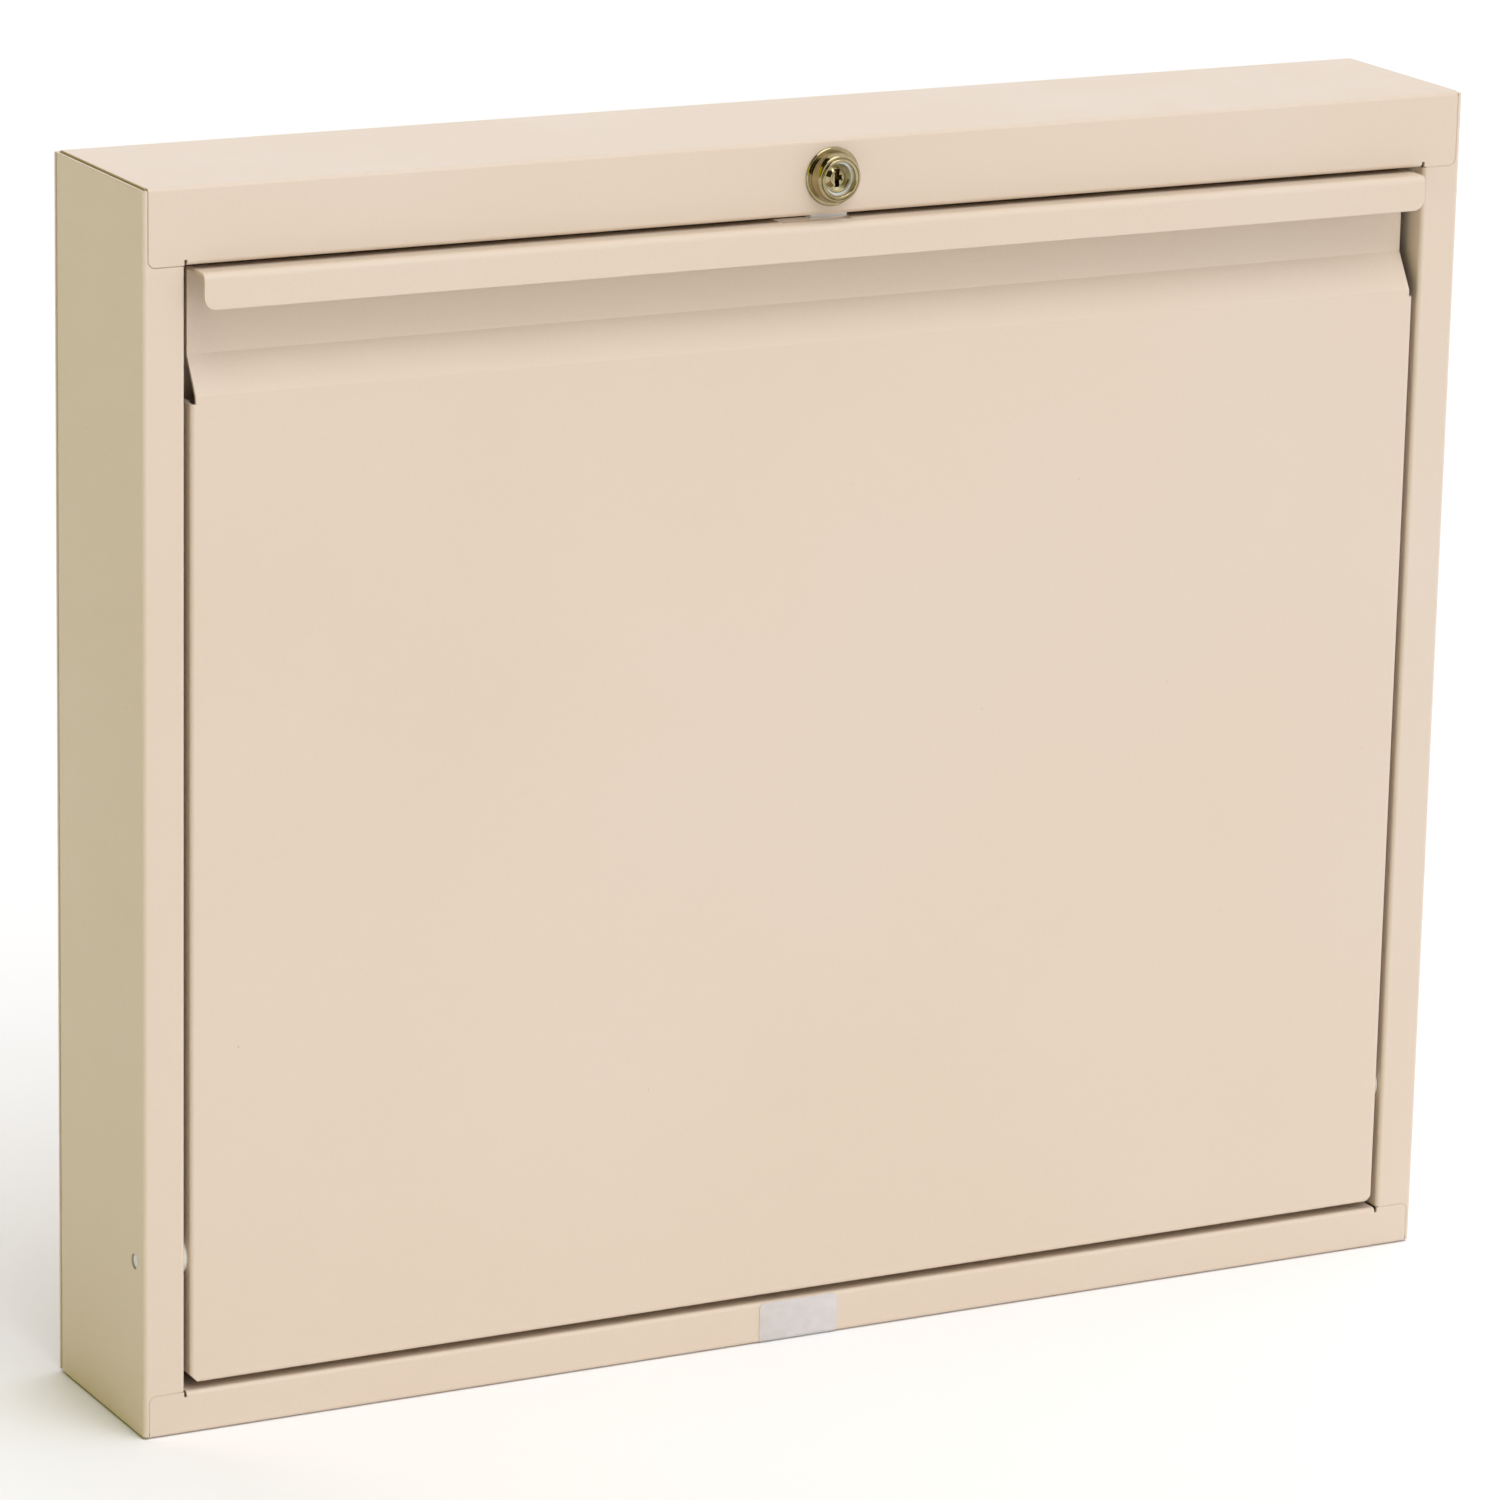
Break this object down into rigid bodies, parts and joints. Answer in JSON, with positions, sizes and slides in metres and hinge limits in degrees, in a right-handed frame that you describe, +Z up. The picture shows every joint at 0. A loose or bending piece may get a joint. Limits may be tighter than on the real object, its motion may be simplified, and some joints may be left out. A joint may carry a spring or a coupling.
{
  "type": "fold-down wall desk",
  "caption": "Shallow wall-hung steel cabinet whose key-locked front folds down on two low pivots to make a level writing surface, with storage behind it.",
  "frame": {"origin": "on the wall face, in the middle of the four wall-screw holes", "axes": "+Z up, +X to the right along the front, +Y into the wall, so the front faces -Y"},
  "size_m": [0.597, 0.0976, 0.508],
  "materials": {
    "case_paint": "almond powder coat, fine satin",
    "laminate": "pale high-pressure laminate, fine suede texture",
    "bright_nickel": "polished nickel plate",
    "die_cast_zinc": "bright die-cast zinc",
    "zinc_plated_steel": "clear zinc plate",
    "galvanised_steel": "galvanised sheet",
    "spring_steel": "black spring steel",
    "nylon": "natural white nylon",
    "rubber": "moulded rubber",
    "catch_plastic": "moulded ABS",
    "ferrite": "sintered ferrite",
    "rivet_aluminium": "aluminium rivet",
    "label_vinyl": "silver-grey vinyl label"
  },
  "bodies": {
    "case": {"side_panel_left": "case_paint", "side_panel_right": "case_paint", "top_panel": "case_paint", "bottom_panel": "case_paint", "back_panel": "case_paint", "storage_shelf": "case_paint", "stop_buffers": "rubber", "label_plate": "label_vinyl", "pivot_pin_left": "zinc_plated_steel", "pivot_pin_right": "zinc_plated_steel", "push_nuts": "spring_steel", "catch_housings": "catch_plastic", "catch_magnets": "ferrite", "catch_poles": "zinc_plated_steel", "catch_screws": "zinc_plated_steel", "lock_bezel": "bright_nickel", "lock_body": "die_cast_zinc", "lock_cover": "zinc_plated_steel", "cover_screws": "zinc_plated_steel"},
    "door": {"door_pan": "case_paint", "door_liner": "case_paint", "door_stiffeners": "galvanised_steel", "writing_surface": "laminate", "liner_rivets": "rivet_aluminium", "pivot_bush_left": "nylon", "pivot_bush_right": "nylon"},
    "plug": {"lock_plug": "bright_nickel", "lock_driver": "die_cast_zinc"},
    "bolt": {"lock_bolt": "die_cast_zinc"}
  },
  "joints": [
    {"name": "door_fold", "type": "hinge", "parent": "case", "child": "door", "pos_m": [0, -0.0791, -0.1815], "axis": [1, 0, 0], "range_deg": [0, 90]},
    {"name": "lock_turn", "type": "hinge", "parent": "case", "child": "plug", "pos_m": [0, -0.089, 0.2385], "axis": [0, 1, 0], "range_deg": [0, 90]},
    {"name": "bolt_slide", "type": "slide", "parent": "case", "child": "bolt", "axis": [0, 0, -1], "range_m": [0, 0.006]}
  ],
  "couplings": [
    {"joint": "lock_turn", "follows": "bolt_slide", "rad_per_m": 261.79}
  ]
}
